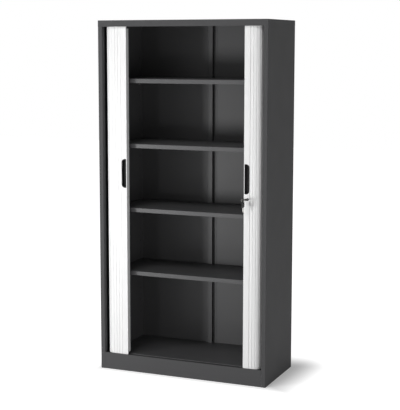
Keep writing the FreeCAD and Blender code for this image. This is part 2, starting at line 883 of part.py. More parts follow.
def left_track(floor_z, up):
    """Channel that guides the slats' ends, opening upwards or downwards."""
    inside = slat_thickness / 2 + track_side_gap
    outside = inside + track_wall
    whole = track_outline(outside, -outside)
    groove = track_outline(inside, -inside)
    total = up * (track_floor + track_height)
    channel = whole.extrude(vec(0, 0, total))
    cut = groove.extrude(vec(0, 0, total))
    cut.translate(vec(0, 0, up * track_floor))
    channel = channel.cut(cut)
    channel.translate(vec(0, 0, floor_z))
    return channel


def foot_places():
    """The four feet, as places on the floor."""
    return [(side * (half_width - foot_inset_x), y) for side in (-1, 1)
            for y in (front + foot_inset_y, rear - foot_inset_y)]


def levelling_feet():
    """Four screwed feet, each a pad with a stem and the nut that locks it."""
    feet = []
    for x, y in foot_places():
        pad = prism(foot_pad_radius, foot_sides, vec(x, y, 0), vec(0, 0, foot_pad_height))
        stem = prism(foot_stem_radius, foot_sides, vec(x, y, foot_pad_height),
                     vec(0, 0, foot_stem_top - foot_pad_height))
        nut = prism(foot_nut_radius, nut_sides, vec(x, y, bracket_top + bracket_thickness),
                    vec(0, 0, foot_nut_height))
        feet.append(pad.fuse([stem, nut]).removeSplitter())
    return Part.makeCompound(feet)


def foot_brackets():
    """Hat brackets under the base pan that the feet screw into."""
    brackets = []
    half = bracket_size / 2
    for x, y in foot_places():
        plate = box(x - half, x + half, y - half, y + half, bracket_top, bracket_top + bracket_thickness)
        legs = [box(x0, x0 + bracket_leg, y - half, y + half, bracket_top, base_top - sheet)
                for x0 in (x - half, x + half - bracket_leg)]
        hole = prism(foot_stem_radius + stem_gap, foot_sides, vec(x, y, bracket_top - overrun),
                     vec(0, 0, bracket_thickness + 2 * overrun))
        brackets.append(plate.fuse(legs).cut(hole).removeSplitter())
    return Part.makeCompound(brackets)


def all_pieces():
    """Every piece under its own name."""
    pieces = {
        "top_cover": top_cover(),
        "left_side_panel": left_side_panel(),
        "plinth": plinth(),
        "rear_base_rail": rear_base_rail(),
        "base_pan": base_pan(),
        "top_pan": top_pan(),
        "floor_pan": floor_pan(),
        "ceiling_pan": ceiling_pan(),
        "left_liner": left_liner(),
        "left_back_panel": left_back_panel(),
        "back_spine": back_spine(),
        "back_rivets": back_rivets(),
        "shelf_clips": shelf_clips(),
        "left_bottom_track": left_track(base_top, 1),
        "left_top_track": left_track(top_pan_face, -1),
        "levelling_feet": levelling_feet(),
        "foot_brackets": foot_brackets(),
        "left_lead_post": left_lead_post(),
        "right_lead_post": right_lead_post(),
        "left_finger_cup": placed(finger_cup(), -front_slats_left, False),
        "right_finger_cup": placed(finger_cup(), -front_slats_right, True),
        "lock_strike": lock_strike(),
        "lock_barrel": lock_barrel(),
        "lock_nut": lock_nut(),
        "lock_core": lock_core(),
        "lock_cam": lock_cam(),
        "key": key(),
        "key_ring": key_ring(),
        "spare_key": spare_key(),
    }
    for name in ("side_panel", "liner", "back_panel", "bottom_track", "top_track"):
        pieces["right_" + name] = mirrored(pieces["left_" + name])
    for k, top in enumerate(shelf_tops):
        pieces["shelf_" + str(k + 1)] = shelf(top)
    pieces.update(curtain("left", front_slats_left, False))
    pieces.update(curtain("right", front_slats_right, True))
    return pieces


os.makedirs("parts", exist_ok=True)
for piece_name, piece_shape in all_pieces().items():
    piece_shape.exportStep("parts/" + piece_name + ".step")
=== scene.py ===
"""Looks of a tall sheet-steel cabinet with two side-opening tambour curtains.

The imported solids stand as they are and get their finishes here. The pieces that the solids hold
only roughly, such as the moulded key heads, the lock's turned face and the rivets' domes, are
built as grids worked out with numpy. All lengths are in metres, in the frame of the solids: the
origin on the floor at the middle of the plinth's front, +X right, +Y to the rear, +Z up.
"""

import logging
import math
from dataclasses import dataclass, field
from enum import Enum
from typing import Callable, Dict, List, Optional, Sequence, Tuple, Union

import bmesh
import bpy
import numpy as np
from mathutils import Matrix, Vector

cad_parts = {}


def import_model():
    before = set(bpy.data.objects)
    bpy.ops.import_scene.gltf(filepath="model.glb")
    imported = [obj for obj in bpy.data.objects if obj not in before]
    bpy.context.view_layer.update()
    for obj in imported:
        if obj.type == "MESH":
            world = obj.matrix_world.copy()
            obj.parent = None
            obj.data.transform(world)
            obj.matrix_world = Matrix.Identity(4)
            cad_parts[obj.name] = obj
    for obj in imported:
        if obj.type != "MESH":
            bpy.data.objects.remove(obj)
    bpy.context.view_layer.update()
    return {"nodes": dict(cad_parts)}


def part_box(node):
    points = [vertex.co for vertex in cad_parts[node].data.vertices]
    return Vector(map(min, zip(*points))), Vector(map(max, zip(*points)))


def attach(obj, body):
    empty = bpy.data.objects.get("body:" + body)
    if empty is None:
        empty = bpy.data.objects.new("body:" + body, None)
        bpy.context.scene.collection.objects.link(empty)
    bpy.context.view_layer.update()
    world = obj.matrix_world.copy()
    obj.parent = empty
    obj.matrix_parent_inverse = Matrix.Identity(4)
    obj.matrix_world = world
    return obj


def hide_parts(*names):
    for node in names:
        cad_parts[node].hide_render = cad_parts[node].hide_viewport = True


LOG = logging.getLogger("cabinet")
Pair = Tuple[float, float]
Triple = Tuple[float, float, float]
Colour = Triple
Grid = np.ndarray

LEAST_RADIUS = 2e-4  # smallest corner of an outline, in metres
HALVINGS = 40  # steps of the search for an outline
MERGE_DISTANCE = 1e-7  # nearer points become one, in metres
SHARP_ANGLE = math.radians(38)  # edges bent further than this stay sharp


# Shader maths

class Socket:
    """An output inside a node tree, on which plain arithmetic adds Math nodes.

    In every operation the other value is a number or another Socket, and the result is a Socket.
    """

    def __init__(self, paint: "Paint", link: object) -> None:
        """Keeps the tree being written and the output.

        Args:
            paint: writes the tree.
            link: the output.
        """
        self.paint = paint
        self.link = link

    def _math(self, operation: str, *others: "Value") -> "Socket":
        """One Math node.

        Args:
            operation: the node's operation.
            others: the values after this one.

        Returns:
            The node's result.
        """
        return self.paint.node("ShaderNodeMath", {"operation": operation}, list((self,) + others))

    def __add__(self, other: "Value") -> "Socket":
        """Sum."""
        return self._math("ADD", other)

    def __sub__(self, other: "Value") -> "Socket":
        """Difference."""
        return self._math("SUBTRACT", other)

    def __mul__(self, other: "Value") -> "Socket":
        """Product."""
        return self._math("MULTIPLY", other)

    def __pow__(self, other: "Value") -> "Socket":
        """Power."""
        return self._math("POWER", other)

    def __neg__(self) -> "Socket":
        """Opposite."""
        return self._math("MULTIPLY", -1.0)

    def __abs__(self) -> "Socket":
        """Size without its sign."""
        return self._math("ABSOLUTE")

    def sine(self) -> "Socket":
        """Sine of an angle in radians."""
        return self._math("SINE")

    def highest(self, other: "Value") -> "Socket":
        """The larger of two values."""
        return self._math("MAXIMUM", other)

    def ramp(self, start: float, end: float) -> "Socket":
        """A smooth step.

        Args:
            start: where the step is 0.
            end: where it is 1.

        Returns:
            The step's value, from 0 to 1.
        """
        return self.paint.node("ShaderNodeMapRange",
                               {"interpolation_type": "SMOOTHSTEP", "clamp": True},
                               {"Value": self, "From Min": start, "From Max": end})


Value = Union[Socket, float, int]


class Paint:
    """Writes the nodes of a material or a world: inputs, textures, mixes and shaders."""

    def __init__(self, owner: Union[bpy.types.Material, bpy.types.World]) -> None:
        """Empties the owner's node tree.

        Args:
            owner: a new material or world.
        """
        owner.use_nodes = True
        self.owner = owner
        self.tree = owner.node_tree
        self.tree.nodes.clear()
        self._split: Optional[List[Socket]] = None

    def node(self, kind: str, settings: Optional[dict] = None,
             values: Optional[Union[dict, list]] = None, out: Union[int, str] = 0) -> Socket:
        """Adds a node.

        Args:
            kind: the node's type.
            settings: its settings, set before its sockets.
            values: values or links of its sockets, by name or in order.
            out: the output that is wanted.

        Returns:
            That output.
        """
        made = self.tree.nodes.new(kind)
        for key, value in (settings or {}).items():
            setattr(made, key, value)
        pairs = values.items() if isinstance(values, dict) else enumerate(values or [])
        for key, value in pairs:
            self.feed(made.inputs[key], value)
        return Socket(self, made.outputs[out])

    def feed(self, inlet: object, value: object) -> None:
        """Links a socket or sets its value.

        Args:
            inlet: the input socket.
            value: a Socket, a number or a colour.
        """
        if isinstance(value, Socket):
            self.tree.links.new(value.link, inlet)
        elif isinstance(value, (tuple, list)):
            wanted = len(inlet.default_value)
            inlet.default_value = tuple(value) + (1.0,) * (wanted - len(value))
        else:
            inlet.default_value = value

    def place(self) -> Socket:
        """The point on the piece, in the row frame, in metres."""
        return self.node("ShaderNodeTexCoord", out="Object")

    def axes(self) -> List[Socket]:
        """The point's three coordinates."""
        if self._split is None:
            split = self.node("ShaderNodeSeparateXYZ", values=[self.place()])
            outlets = split.link.node.outputs
            self._split = [Socket(self, outlets[k]) for k in range(3)]
        return self._split

    def shown(self) -> Socket:
        """1 for what the camera, glossy and transmission rays see, else 0."""
        camera, glossy, clear = (self.node("ShaderNodeLightPath", out=name) for name in
                                 ("Is Camera Ray", "Is Glossy Ray", "Is Transmission Ray"))
        return camera.highest(glossy).highest(clear)

    def stretched(self, scale: Sequence[float]) -> Socket:
        """The point with each coordinate scaled.

        Args:
            scale: the three factors.

        Returns:
            The scaled point.
        """
        return self.node("ShaderNodeVectorMath", {"operation": "MULTIPLY"},
                         [self.place(), tuple(scale)])

    def noise(self, scale: float, detail: float = 2.0,
              stretch: Sequence[float] = (1.0, 1.0, 1.0), rough: float = 0.5) -> Socket:
        """Noise from 0 to 1 over the piece.

        Args:
            scale: cycles per metre.
            detail: octaves.
            stretch: extra factor per axis.
            rough: how much the finer octaves count.

        Returns:
            The noise's value.
        """
        values = {"Vector": self.stretched(stretch), "Scale": scale, "Detail": detail,
                  "Roughness": rough}
        return self.node("ShaderNodeTexNoise", values=values, out="Fac")

    def blend(self, share: Value, first: object, second: object) -> Socket:
        """Mixes two colours.

        Args:
            share: 0 gives the first, 1 the second.
            first: a colour or a Socket.
            second: a colour or a Socket.

        Returns:
            The mixed colour.
        """
        made = self.tree.nodes.new("ShaderNodeMix")
        made.data_type = "RGBA"
        self.feed(made.inputs["Factor"], share)
        colours = [i for i in made.inputs if i.type == "RGBA"]
        self.feed(colours[0], first)
        self.feed(colours[1], second)
        return Socket(self, [o for o in made.outputs if o.type == "RGBA"][0])

    def bump(self, heights: Socket, strength: float, distance: float) -> Socket:
        """Turns a height into a bent normal.

        Args:
            heights: the height, from 0 to 1.
            strength: how strongly it bends the normal.
            distance: the height's size in metres.

        Returns:
            The bent normal.
        """
        return self.node("ShaderNodeBump", values={"Strength": strength, "Distance": distance,
                                                   "Height": heights})

    def end(self, kind: str, shader: Socket) -> None:
        """Shows a shader.

        Args:
            kind: the output node's type.
            shader: the shader's output.
        """
        self.feed(self.tree.nodes.new(kind).inputs["Surface"], shader)

    def surface(self, **sockets: object) -> bpy.types.Material:
        """Ends the material with a Principled shader.

        Args:
            sockets: its sockets' values, with spaces as underscores.

        Returns:
            The material.
        """
        values = {name.replace("_", " "): value for name, value in sockets.items()}
        self.end("ShaderNodeOutputMaterial", self.node("ShaderNodeBsdfPrincipled", values=values))
        return self.owner


# Finishes

def shaded(colour: Colour, factor: float, lift: float = 0.0) -> Colour:
    """A lighter or darker colour.

    Args:
        colour: red, green and blue.
        factor: multiplies each of them.
        lift: is added to each afterwards.

    Returns:
        The new colour, nowhere above 1.
    """
    return tuple(min(1.0, part * factor + lift) for part in colour)


class Sheen(Enum):
    """How glossy a moulded plastic is, as its roughness."""

    MATT = 0.55
    SATIN = 0.38


@dataclass(frozen=True)
class PowderCoat:
    """Powder coat on sheet steel: fine orange peel, faint clouds and specks.

    In all finishes a scale is in cycles per metre, a height in metres, a bend the bump's
    strength, and a spread how far the roughness varies.
    """

    name: str
    colour: Colour
    roughness: float = 0.66
    peel_bend: float = 0.35
    clouding: float = 0.06
    gloss: float = 0.1
    contrast: float = 0.14
    cloud_scale: float = 5.0
    speck_scale: float = 1400.0
    peel_scale: float = 620.0
    peel_height: float = 0.00022
    pore_scale: float = 2300.0
    pore_share: float = 0.25
    patch_scale: float = 9.0
    patch_spread: float = 0.08

    def made(self) -> bpy.types.Material:
        """Writes the material."""
        paint = Paint(bpy.data.materials.new(self.name))
        cloud = paint.noise(self.cloud_scale, detail=3.0)
        speck = paint.noise(self.speck_scale)
        share = (cloud - 0.5) * self.clouding * 2 + (speck - 0.5) * self.clouding + 0.5
        colour = paint.blend(share, shaded(self.colour, 1 - self.contrast),
                             shaded(self.colour, 1 + self.contrast))
        peel = paint.noise(self.peel_scale, detail=3.0)
        pores = paint.noise(self.pore_scale, detail=1.0)
        heights = peel * (1 - self.pore_share) + pores * self.pore_share
        bent = paint.bump(heights, self.peel_bend, self.peel_height)
        patches = paint.noise(self.patch_scale)
        rough = patches * self.patch_spread + (self.roughness - self.patch_spread / 2)
        return paint.surface(Base_Color=colour, Roughness=rough, Normal=bent,
                             Specular_IOR_Level=self.gloss)


@dataclass(frozen=True)
class SlatPlastic:
    """Extruded plastic of the curtains: faint draw lines along Z and a soft gloss."""

    name: str
    colour: Colour
    roughness: float = 0.36
    darkest: float = 0.972
    lightest: float = 1.02
    draw_scale: float = 520.0
    draw_stretch: Triple = (1.0, 1.0, 0.004)
    draw_share: float = 0.25
    draw_bend: float = 0.12
    draw_height: float = 0.0001
    draw_spread: float = 0.1
    tint_scale: float = 2.5
    tint_stretch: Triple = (6.0, 6.0, 0.5)
    tint_share: float = 0.5

    def made(self) -> bpy.types.Material:
        """Writes the material."""
        paint = Paint(bpy.data.materials.new(self.name))
        draw = paint.noise(self.draw_scale, stretch=self.draw_stretch)
        tint = paint.noise(self.tint_scale, stretch=self.tint_stretch)
        share = (tint - 0.5) * self.tint_share + (draw - 0.5) * self.draw_share + 0.5
        colour = paint.blend(share, shaded(self.colour, self.darkest),
                             shaded(self.colour, self.lightest))
        bent = paint.bump(draw, self.draw_bend, self.draw_height)
        rough = draw * self.draw_spread + (self.roughness - self.draw_spread / 2)
        return paint.surface(Base_Color=colour, Roughness=rough, Normal=bent)


@dataclass(frozen=True)
class MouldedPlastic:
    """Black moulded plastic with a fine spark-eroded grain and paler worn patches."""

    name: str
    colour: Colour
    sheen: Sheen = Sheen.SATIN
    grain_bend: float = 0.3
    gloss: float = 0.22
    grain_scale: float = 2600.0
    grain_rough: float = 0.65
    grain_height: float = 0.00008
    wear_scale: float = 60.0
    wear_limits: Pair = (0.45, 0.75)
    wear_share: float = 0.5
    wear_spread: float = 0.12
    paler: float = 1.5
    paler_lift: float = 0.004

    def made(self) -> bpy.types.Material:
        """Writes the material."""
        paint = Paint(bpy.data.materials.new(self.name))
        grain = paint.noise(self.grain_scale, detail=3.0, rough=self.grain_rough)
        wear = paint.noise(self.wear_scale, detail=3.0)
        colour = paint.blend(wear.ramp(*self.wear_limits) * self.wear_share, self.colour,
                             shaded(self.colour, self.paler, self.paler_lift))
        bent = paint.bump(grain, self.grain_bend, self.grain_height)
        rough = wear * self.wear_spread + (self.sheen.value - self.wear_spread / 2)
        return paint.surface(Base_Color=colour, Roughness=rough, Normal=bent,
                             Specular_IOR_Level=self.gloss)


class Turning(Enum):
    """The way that a metal's tool marks run."""

    ROUND_Y = "round the lock's axis"
    ALONG_Z = "up and down"
    PLAIN = "a plain grain"


@dataclass(frozen=True)
class PlatedMetal:
    """Bare, zinc or nickel plated metal with tool marks and slight dulling."""

    name: str
    colour: Colour
    roughness: float = 0.25
    marks: Turning = Turning.PLAIN
    axis: Pair = (0.0, 0.0)
    spangle: float = 0.0
    darkest: float = 0.78
    turned_rate: float = 14000.0
    drawn_scale: float = 900.0
    drawn_stretch: Triple = (1.0, 1.0, 0.02)
    plain_scale: float = 700.0
    mark_bend: float = 0.12
    mark_height: float = 0.00004
    mark_spread: float = 0.05
    dull_scale: float = 120.0
    dull_spread: float = 0.16
    flake_scale: float = 260.0

    def tool_marks(self, paint: Paint) -> Socket:
        """The marks' height, from 0 to 1.

        Turned marks are (1 + sin(w r)) / 2 at the distance r from the axis, with w in radians
        per metre.

        Args:
            paint: writes the material.

        Returns:
            The height.
        """
        if self.marks is Turning.ROUND_Y:
            x, _, z = paint.axes()
            dx, dz = x - self.axis[0], z - self.axis[1]
            radius = (dx * dx + dz * dz) ** 0.5
            return (radius * self.turned_rate).sine() * 0.5 + 0.5
        if self.marks is Turning.ALONG_Z:
            return paint.noise(self.drawn_scale, stretch=self.drawn_stretch)
        return paint.noise(self.plain_scale)

    def made(self) -> bpy.types.Material:
        """Writes the material."""
        paint = Paint(bpy.data.materials.new(self.name))
        marks = self.tool_marks(paint)
        dull = paint.noise(self.dull_scale, detail=3.0)
        flakes = paint.node("ShaderNodeTexVoronoi", out="Color",
                            values={"Vector": paint.place(), "Scale": self.flake_scale})
        grey = paint.node("ShaderNodeSeparateColor", values=[flakes])
        share = dull * (0.5 - self.spangle * 0.5) + grey * self.spangle
        colour = paint.blend(share, shaded(self.colour, self.darkest), self.colour)
        bent = paint.bump(marks, self.mark_bend, self.mark_height)
        base = self.roughness - self.dull_spread / 2
        rough = dull * self.dull_spread + marks * self.mark_spread + base
        return paint.surface(Base_Color=colour, Metallic=1.0, Roughness=rough, Normal=bent)


# Grids

def ring(count: int) -> np.ndarray:
    """Angles of a closed ring: 2 pi k / n for k from 0 to n - 1.

    Args:
        count: n.

    Returns:
        The angles, without a repeat.
    """
    return np.arange(count) * (2 * math.pi / count)


def quarter(points: int) -> np.ndarray:
    """Angles of a quarter turn, from 0 to pi / 2.

    Args:
        points: how many.

    Returns:
        The angles, with both ends.
    """
    return np.linspace(0, math.pi / 2, points)


def superellipse(angles: np.ndarray, power: float) -> Tuple[np.ndarray, np.ndarray]:
    """A rounded rectangle on the unit square.

    x = sgn(cos a) |cos a|^(2/n) and y = sgn(sin a) |sin a|^(2/n): n = 2 is a circle and a
    large n is a square.

    Args:
        angles: the angles a.
        power: n.

    Returns:
        x and y, each from -1 to 1.
    """
    c, s = np.cos(angles), np.sin(angles)
    return np.sign(c) * np.abs(c) ** (2 / power), np.sign(s) * np.abs(s) ** (2 / power)


def d_outline(low: Sequence[float], high: Sequence[float], radii: Sequence[float],
              inset: float, steps: int = 14) -> np.ndarray:
    """A rounded rectangle with its own radius at each corner, drawn in by an inset.

    Each corner is a quarter circle c + r (cos a, sin a) whose centre c lies r inside both sides,
    after the sides have moved in by the inset and the radius has shrunk by it.

    Args:
        low: lowest x and z.
        high: highest x and z.
        radii: radii at low-low, high-low, high-high and low-high.
        inset: how far the outline is drawn in.
        steps: points per corner.

    Returns:
        Rows of (x, z), counter-clockwise.
    """
    a = quarter(steps)
    parts = []
    for k, (sx, sz) in enumerate(((-1, -1), (1, -1), (1, 1), (-1, 1))):
        r = max(radii[k] - inset, LEAST_RADIUS)
        cx = (low[0] + inset + r) if sx < 0 else (high[0] - inset - r)
        cz = (low[1] + inset + r) if sz < 0 else (high[1] - inset - r)
        turn = a + math.pi * (1 + 0.5 * k)
        parts.append(np.stack([cx + r * np.cos(turn), cz + r * np.sin(turn)], -1))
    return np.concatenate(parts)


def reach(inside: Callable[[np.ndarray, np.ndarray], np.ndarray], centre: Sequence[float],
          angles: np.ndarray, most: float) -> np.ndarray:
    """How far an outline lies from a point inside it, found by halving the span again and again.

    Args:
        inside: tells for x and y whether they lie within the outline.
        centre: the point.
        angles: directions.
        most: a distance beyond the outline.

    Returns:
        One distance per direction.
    """
    near, far = np.zeros(len(angles)), np.full(len(angles), most)
    for _ in range(HALVINGS):
        mid = (near + far) / 2
        within = inside(centre[0] + mid * np.cos(angles), centre[1] + mid * np.sin(angles))
        near, far = np.where(within, mid, near), np.where(within, far, mid)
    return near


def lathe(profile: np.ndarray, centre: Sequence[float], columns: int = 64) -> Grid:
    """A profile turned about an axis along Y.

    The point at (i, v) is centre + (r_i cos v, y_i, r_i sin v), with the profile's r and y.

    Args:
        profile: rows of (radius, y).
        centre: the axis's point at y = 0 of the profile.
        columns: points round the axis.

    Returns:
        The grid, rows by columns by 3.
    """
    v = ring(columns)
    r, y = profile[:, 0], profile[:, 1]
    grid = np.empty((len(r), columns, 3))
    grid[..., 0] = centre[0] + r[:, None] * np.cos(v)
    grid[..., 1] = centre[1] + y[:, None]
    grid[..., 2] = centre[2] + r[:, None] * np.sin(v)
    return grid


def hoop(centre: Sequence[float], radius: float, wire: float, turns: float, pitch: float,
         rows: int = 220, columns: int = 12) -> Grid:
    """A split ring: wire wound round an axis along Y.

    The point at (u, v) is centre + ((R + w cos v) cos u, p (u / 2 pi - n / 2) + w sin v,
    (R + w cos v) sin u).

    Args:
        centre: the ring's centre.
        radius: R, to the middle of the wire.
        wire: w, the wire's radius.
        turns: n, how often it goes round.
        pitch: p, its climb along Y per turn.
        rows: points along the wire.
        columns: points round the wire.

    Returns:
        The grid, rows by columns by 3.
    """
    u = np.linspace(0, 2 * math.pi * turns, rows)
    v = ring(columns)
    spread = radius + wire * np.cos(v)
    rise = pitch * (u / (2 * math.pi) - turns / 2)
    grid = np.empty((rows, columns, 3))
    grid[..., 0] = centre[0] + spread * np.cos(u)[:, None]
    grid[..., 1] = centre[1] + rise[:, None] + wire * np.sin(v)
    grid[..., 2] = centre[2] + spread * np.sin(u)[:, None]
    return grid


def grid_faces(rows: int, columns: int, first: int = 0, closed: bool = False) -> np.ndarray:
    """Quads of a grid that closes on itself along its columns.

    Args:
        rows: the grid's rows.
        columns: the grid's columns.
        first: the number of its first vertex.
        closed: whether its last row joins its first.

    Returns:
        Four vertex numbers per quad.
    """
    steps = np.arange(rows if closed else rows - 1)
    i, j = np.meshgrid(steps, np.arange(columns), indexing="ij")
    k, m = (j + 1) % columns, (i + 1) % rows
    quads = np.stack([i * columns + j, i * columns + k, m * columns + k, m * columns + j], -1)
    return quads.reshape(-1, 4) + first


def mesh_of(name: str, tubes: Sequence[Grid] = (), rings: Sequence[Grid] = ()) -> bpy.types.Object:
    """Makes one piece from closed grids.

    Args:
        name: the piece's name.
        tubes: grids closed along their columns, whose ends are capped.
        rings: grids closed both ways.

    Returns:
        The new object, at the origin, shaded smooth with its sharp edges kept.
    """
    points, faces, start = [], [], 0
    for grid, closed in [(tube, False) for tube in tubes] + [(loop, True) for loop in rings]:
        rows, columns = grid.shape[:2]
        points.append(grid.reshape(-1, 3))
        faces += grid_faces(rows, columns, start, closed).tolist()
        if not closed:
            last = start + (rows - 1) * columns
            faces.append(list(range(start, start + columns))[::-1])
            faces.append(list(range(last, last + columns)))
        start += rows * columns
    mesh = bpy.data.meshes.new(name)
    mesh.from_pydata(np.concatenate(points).tolist(), [], faces)
    mesh.update()
    made = bpy.data.objects.new(name, mesh)
    bpy.context.scene.collection.objects.link(made)
    settle(made)
    mesh.shade_smooth()
    mesh.set_sharp_from_angle(angle=SHARP_ANGLE)
    return made


def settle(piece: bpy.types.Object) -> None:
    """Merges a piece's doubled points and turns its faces outwards.

    Args:
        piece: a mesh object.
    """
    work = bmesh.new()
    work.from_mesh(piece.data)
    bmesh.ops.remove_doubles(work, verts=work.verts, dist=MERGE_DISTANCE)
    bmesh.ops.dissolve_degenerate(work, edges=work.edges, dist=MERGE_DISTANCE)
    bmesh.ops.recalc_face_normals(work, faces=work.faces)
    work.to_mesh(piece.data)
    work.free()
    piece.data.update()


def dress(piece: bpy.types.Object, material: bpy.types.Material) -> None:
    """Gives a piece one material in its slots.

    Args:
        piece: a mesh object.
        material: its finish.
    """
    if len(piece.material_slots) == 0:
        piece.data.materials.append(material)
    for slot in piece.material_slots:
        slot.material = material


def dress_all(nodes: Dict[str, bpy.types.Object], names: Sequence[str],
              material: bpy.types.Material) -> None:
    """Gives several solids one material.

    Args:
        nodes: the solids by name.
        names: the ones to dress.
        material: their finish.
    """
    for name in names:
        dress(nodes[name], material)
        LOG.info("%s in %s", name, material.name)


# Sub-assemblies

@dataclass
class Carcass:
    """Sheet-steel body: cover, sides, plinth, pans, liners, back and shelves."""

    nodes: Dict[str, bpy.types.Object]
    outer: PowderCoat = PowderCoat("graphite_powder_coat", (0.072, 0.072, 0.074))
    # The inside copy of the same graphite coat has a darker colour than the outside one, which
    # paints the shade inside the cabinet.
    inner: PowderCoat = PowderCoat("graphite_powder_coat_inside", (0.066, 0.066, 0.068),
                                   roughness=0.44, gloss=0.3)
    plating: PlatedMetal = PlatedMetal("zinc_plated_clips", (0.5, 0.5, 0.5), roughness=0.35,
                                       spangle=0.4)
    plastic: MouldedPlastic = MouldedPlastic("black_foot_plastic", (0.02, 0.02, 0.02), Sheen.MATT)
    outside: Tuple[str, ...] = ("top_cover", "left_side_panel", "right_side_panel", "plinth",
                                "rear_base_rail")
    inside: Tuple[str, ...] = ("base_pan", "top_pan", "floor_pan", "ceiling_pan", "left_liner",
                               "right_liner", "left_back_panel", "right_back_panel",
                               "back_spine", "shelf_1", "shelf_2", "shelf_3", "shelf_4")
    plated: Tuple[str, ...] = ("shelf_clips", "foot_brackets")

    def build(self) -> None:
        """Dresses the body's pieces and makes its rivets."""
        outer = self.outer.made()
        dress_all(self.nodes, self.outside, outer)
        dress_all(self.nodes, self.inside, self.inner.made())
        dress_all(self.nodes, self.plated, self.plating.made())
        dress_all(self.nodes, ("levelling_feet",), self.plastic.made())
        Rivets().build(outer)


@dataclass
class Curtains:
    """Slats, lead posts, finger cups and tracks of both sides."""

    nodes: Dict[str, bpy.types.Object]
    slat: SlatPlastic = SlatPlastic("white_slat_plastic", (0.82, 0.82, 0.82))
    post: PowderCoat = PowderCoat("white_post_lacquer", (0.83, 0.83, 0.83), roughness=0.38,
                                  peel_bend=0.12, clouding=0.03)
    track: MouldedPlastic = MouldedPlastic("black_track_plastic", (0.013, 0.013, 0.014),
                                           Sheen.MATT)
    cup: MouldedPlastic = MouldedPlastic("black_cup_plastic", (0.011, 0.011, 0.012))

    def build(self) -> None:
        """Dresses the curtains' pieces and makes their cups."""
        for kind, finish in (("slat", self.slat), ("_lead_post", self.post),
                             ("_track", self.track)):
            dress_all(self.nodes, sorted(name for name in self.nodes if kind in name),
                      finish.made())
        cup = self.cup.made()
        for side in ("left", "right"):
            FingerCup(side).build(cup)


@dataclass
class FingerCup:
    """One D-shaped cup: a rounded rim on the post's face round a tub with a filleted floor."""

    side: str
    rim: float = 0.0015
    proud: float = 0.0008
    wall: float = 0.0015
    lead_round: float = 0.003
    tail_round: float = 0.019
    fillet: float = 0.004
    chamfer: float = 0.001
    seat: float = 1e-4
    flat: float = 0.003

    def rows(self) -> Grid:
        """Outlines from the tub's outer floor over the rim to its inner floor.

        Returns:
            The grid: each row is the D outline drawn in by i_k at the depth y_k, where the pairs
            (i_k, y_k) follow the cup's section, with quarter circles at the rim and the floor.
        """
        low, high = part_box(self.side + "_finger_cup")
        front, back = low.y, high.y
        face, floor = front + self.proud, back - self.wall
        inner = self.rim + self.wall
        r, f = self.proud, self.fillet
        q = quarter(6)
        section = [(self.rim + self.chamfer, back), (self.rim, back - self.chamfer),
                   (self.rim, face + self.seat), (0.0, face)]
        section += [(r - r * math.cos(t), face - r * math.sin(t)) for t in q[1:]]
        section += [(inner - r + r * math.sin(t), front + r - r * math.cos(t)) for t in q]
        section += [(inner + f - f * math.cos(t), floor - f + f * math.sin(t)) for t in q]
        section += [(inner + f + self.flat, floor)]
        big, small = self.tail_round, self.lead_round
        left = self.side == "left"
        radii = (big, small, small, big) if left else (small, big, big, small)
        grid = []
        for inset, y in section:
            outline = d_outline((low.x, low.z), (high.x, high.z), radii, inset)
            grid.append(np.stack([outline[:, 0], np.full(len(outline), y), outline[:, 1]], -1))
        return np.array(grid)

    def build(self, material: bpy.types.Material) -> None:
        """Makes the cup in place of its plain solid.

        Args:
            material: its finish.
        """
        node = self.side + "_finger_cup"
        piece = mesh_of(node + "_moulded", [self.rows()])
        dress(piece, material)
        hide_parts(node)
        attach(piece, self.side + "_door")
        LOG.info("%s moulded", node)


